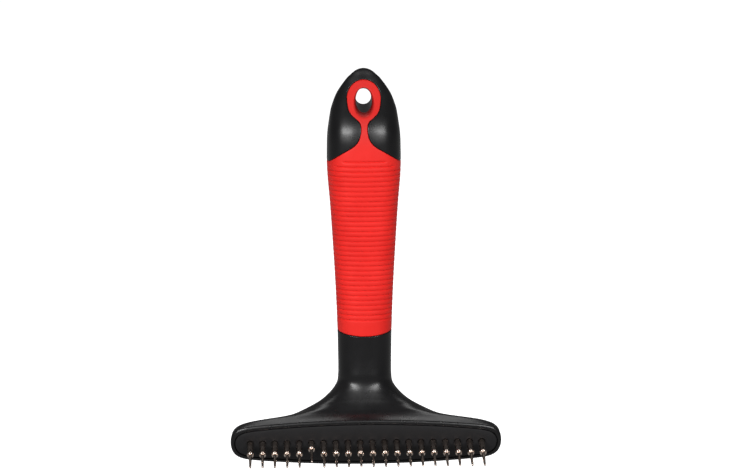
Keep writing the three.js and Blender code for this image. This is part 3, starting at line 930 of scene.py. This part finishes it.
def make_grip():
    skin = Skin()
    outer, inner = [], []
    faces = []

    def add(places, heights):
        start = len(outer)
        outer.extend(on_handle(*place, height) for place, height in zip(places, heights))
        inner.extend(on_handle(*place, -GRIP_INSET) for place in places)
        return start

    rows = even_rows(PATCH_TOP, FIRST_GROOVE + RIB_PITCH / 2, GRIP_ROW_STEP)[:-1] + rib_rows(0, 1)
    rows.append(PATCH_BOTTOM)
    lines = [edge_line(inset) for inset, _ in RED_EDGE]
    for side in (FRONT, BACK):
        mouths = [oval_line(scale, side) for scale in RED_MOUTH]
        places, heights, triangles = patch(side, lines, mouths, rows, True, red_height)
        start = add(places, heights)
        faces.extend(tuple(start + i for i in face) for face in triangles)

    def ring_places(z_of):
        found = []
        for side, sign, i in around():
            angle = sign * column_angle(i)
            found.append((side, angle, z_of(on_handle(side, angle, z_of(0.0), 0.0).x)))
        return found

    sleeve = [(level(PATCH_BOTTOM), None)]
    sleeve += [(level(z), None) for z in rib_rows(2, GROOVE_COUNT - 1)[1:]]
    last = FIRST_GROOVE - (GROOVE_COUNT - 0.5) * RIB_PITCH
    for share in (0.0, 0.3, 0.6, 0.9):
        sleeve.append((lambda x, share=share: lerp(last, end_height(-ABOVE_END)(x), share), None))
    for inside_by, height in RED_EDGE[::-1]:
        sleeve.append((end_height(-inside_by), height))
    starts = []
    for z_of, height in sleeve:
        places = ring_places(z_of)
        starts.append(add(places, [red_height(*place) if height is None else height for place in places]))
    ring = len(around())
    skin.add(outer + inner)
    count = len(outer)
    skin.faces = faces + [tuple(i + count for i in reversed(face)) for face in faces]
    for a, b in zip(starts, starts[1:]):
        skin.join(range(a, a + ring), range(b, b + ring))
    coarse = starts[:-1:INNER_EVERY] + starts[-1:]
    for a, b in zip(coarse, coarse[1:]):
        skin.join(range(count + b, count + b + ring), range(count + a, count + a + ring))
    close_rim(skin, faces, count)
    skin.join(range(starts[-1], starts[-1] + ring), range(count + starts[-1], count + starts[-1] + ring))
    piece = skin.make("grip_sleeve", RED, sharp_angle=40)
    finish_piece(piece, "handle", "soft_grip")


def close_rim(skin, faces, count):
    """Walls between the outer and the inner side along the open edges of the outer patches.

    The side lines, where the two patches meet, and the bottom row, where the sleeve goes on, are
    no open edges.
    """
    key_of = [tuple(round(v, 2) for v in point) for point in skin.points[:count]]
    used = {}
    for face in faces:
        for a, b in zip(face, face[1:] + face[:1]):
            used.setdefault(frozenset((key_of[a], key_of[b])), []).append((a, b))
    for pairs in used.values():
        a, b = pairs[0]
        if len(pairs) == 1 and max(skin.points[a].z, skin.points[b].z) > PATCH_BOTTOM + SLIVER:
            skin.faces.append((b, a, a + count, b + count))


def make_plate():
    skin = Skin()
    edge = RIM_WIDTH + SEAM
    side_steps = [(edge, -PLATE_THICKNESS), (edge, -PLATE_ROUND),
                  (edge + 0.09, -0.09), (edge + PLATE_ROUND, 0.0)]
    rings = [face_outline(inset, z) for inset, z in side_steps]
    skin.loft(rings)
    radii = [(PLATE_HOLE_RADIUS, -PLATE_THICKNESS), (PLATE_HOLE_RADIUS, -0.08),
             (PLATE_HOLE_RADIUS + 0.02, -0.02), (PLATE_HOLE_RADIUS + 0.08, 0.0)]
    turns = [2 * math.pi * i / ROUND_SIDES for i in range(ROUND_SIDES)]
    holes = []
    for x in tooth_places():
        hole = [[Vector((x + r * math.cos(a), r * math.sin(a), z)) for a in turns] for r, z in radii]
        skin.loft(hole)
        holes.append(hole)
    for which in (-1, 0):
        fill_flat(skin, rings[which], [hole[which] for hole in holes], radii[which][0])
    piece = skin.make("face_plate", PLATE, sharp_angle=38, place=face_matrix())
    finish_piece(piece, "handle", "tooth_plate")


def fill_flat(skin, ring, loops, radius):
    """Triangles of one flat side of the plate, between its outline and the loops of its holes."""
    flat, edges = [], []
    for loop in [ring] + loops:
        first = len(flat)
        flat.extend(Vector((p.x, p.y)) for p in loop)
        edges.extend((first + i, first + (i + 1) % len(loop)) for i in range(len(loop)))
    result = delaunay_2d_cdt(flat, edges, [], 0, SAME_POINT)
    corners, triangles = result[0], result[2]
    start = skin.add([Vector((p.x, p.y, ring[0].z)) for p in corners])[0]
    outline = np.array([(p.x, p.y) for p in ring])
    for triangle in triangles:
        x, y = (sum(corners[i][k] for i in triangle) / 3 for k in (0, 1))
        in_hole = min(math.hypot(x - place, y) for place in tooth_places()) < radius * HOLE_SHARE
        if not in_hole and inside(outline, x, y):
            skin.faces.append(tuple(start + i for i in triangle))


def tooth_places():
    """x of each tooth, from the joints that they turn on."""
    return [joint["pos_m"][0] / MM for joint in frame["joints"]]


def tooth_profile():
    """(radius, distance from the face) along a tooth, from its hidden head to its point."""
    back = -PLATE_THICKNESS - SEAM
    head = TOOTH_HEAD_RADIUS
    low = back - TOOTH_HEAD_THICKNESS
    points = [(head - 0.25, low), (head - 0.05, low + 0.1), (head, low + 0.25), (head, back - 0.15),
              (head - 0.1, back), (SHANK_RADIUS, back), (SHANK_RADIUS, SHANK_END - 0.4),
              (SHANK_RADIUS, SHANK_END)]
    for t in (0.25, 0.5, 0.75, 1.0):
        radius = lerp(SHANK_RADIUS, SHOULDER_RADIUS, smooth_step(0, 1, t))
        points.append((radius, lerp(SHANK_END, SHOULDER_START, t)))
    points.append((SHOULDER_RADIUS, SHOULDER_FULL))
    across, along = SHOULDER_ROUND
    for a in np.linspace(0, math.pi / 2, 9):
        points.append((POINT_RADIUS + across * math.cos(a), SHOULDER_ROUND_START + along * math.sin(a)))
    end = TOOTH_LENGTH - POINT_END_RADIUS
    for t in np.linspace(0, 1, 8):
        points.append((lerp(POINT_RADIUS, POINT_END_RADIUS, t), lerp(POINT_START, end, t)))
    for a in np.linspace(0.3, math.pi / 2, 5)[:-1]:
        points.append((POINT_END_RADIUS * math.cos(a), end + POINT_END_RADIUS * math.sin(a)))
    return points


def make_teeth():
    placed = face_matrix()
    turns = [2 * math.pi * i / ROUND_SIDES for i in range(ROUND_SIDES)]
    for number, joint in enumerate(frame["joints"], start=1):
        skin = Skin()
        pushed = -PUSHED_IN_BY if number == PUSHED_IN_TOOTH else 0.0
        x = joint["pos_m"][0] / MM
        rings = [[Vector((x + radius * math.cos(a), radius * math.sin(a), along + pushed)) for a in turns]
                 for radius, along in tooth_profile()]
        rows = skin.loft(rings)
        skin.cap(rows[0])
        skin.cap(rows[-1])
        body = joint["child"]
        piece = skin.make(f"steel_{body}", STEEL, sharp_angle=50, place=placed)
        finish_piece(piece, body, body)


make_camera()
make_world()
make_lights()
make_floor()
make_body()
make_grip()
make_plate()
make_teeth()
